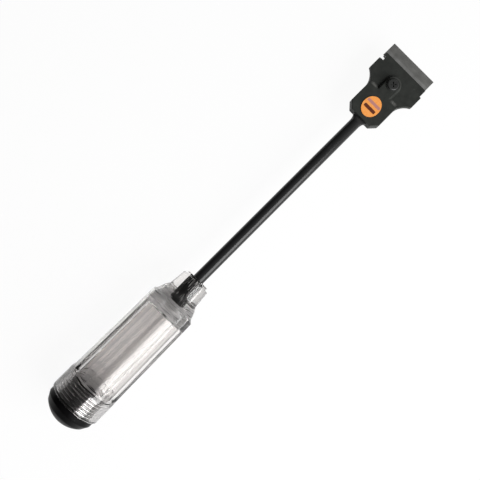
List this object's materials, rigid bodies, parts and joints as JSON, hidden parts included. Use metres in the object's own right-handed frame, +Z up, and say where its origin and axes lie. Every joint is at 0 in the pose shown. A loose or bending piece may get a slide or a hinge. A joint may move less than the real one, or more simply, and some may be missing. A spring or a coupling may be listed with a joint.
{
  "type": "hob scraper",
  "caption": "Long-reach hob scraper with a clear hollow screw-capped handle, a black rod and a flat head that clamps a single-edge razor blade.",
  "frame": {"origin": "under the middle of the tool's length, on the plane that its collar lies on", "axes": "+X along the tool from the cap to the blade, +Z up through the face with the label"},
  "size_m": [0.3346, 0.0406, 0.036],
  "materials": {
    "clear_plastic": "clear, polished moulding",
    "black_plastic": "black moulding, satin gloss",
    "seal_rubber": "matt rubber",
    "black_rod": "black oxide, glossy",
    "black_paint": "black paint, satin",
    "screw_black": "black zinc",
    "zinc_steel": "zinc plated",
    "blade_steel": "ground steel",
    "label_print": "printed film"
  },
  "bodies": {
    "tool": {"handle": "clear_plastic", "shaft": "black_rod", "head_back_plate": "black_paint", "head_front_plate": "black_paint", "tang_rivets": "screw_black", "clamp_nut": "zinc_steel", "label": "label_print"},
    "cap_seal": {"cap_seal": "seal_rubber"},
    "cap": {"cap": "black_plastic"},
    "washer": {"clamp_washer": "screw_black"},
    "screw": {"clamp_screw": "screw_black"},
    "blade": {"blade": "blade_steel", "blade_spine": "zinc_steel"}
  },
  "joints": [
    {"name": "cap_back_off", "type": "slide", "parent": "tool", "child": "cap_seal", "axis": [-1, 0, 0], "range_m": [0, 0.0096]},
    {"name": "cap_turn", "type": "hinge", "parent": "cap_seal", "child": "cap", "pos_m": [-0.15375, 0, 0.018], "axis": [-1, 0, 0], "range_deg": [0, 1729]},
    {"name": "washer_lift", "type": "slide", "parent": "tool", "child": "washer", "axis": [0, 0, 1], "range_m": [0, 0.0021]},
    {"name": "screw_turn", "type": "hinge", "parent": "washer", "child": "screw", "pos_m": [0.14145, 0, 0.018], "axis": [0, 0, 1], "range_deg": [0, 1081]},
    {"name": "blade_slide", "type": "slide", "parent": "tool", "child": "blade", "axis": [0, -1, 0], "range_m": [0, 0.038]}
  ],
  "couplings": [
    {"joint": "cap_turn", "follows": "cap_back_off", "rad_per_m": 3141.6},
    {"joint": "screw_turn", "follows": "washer_lift", "rad_per_m": 8976}
  ]
}
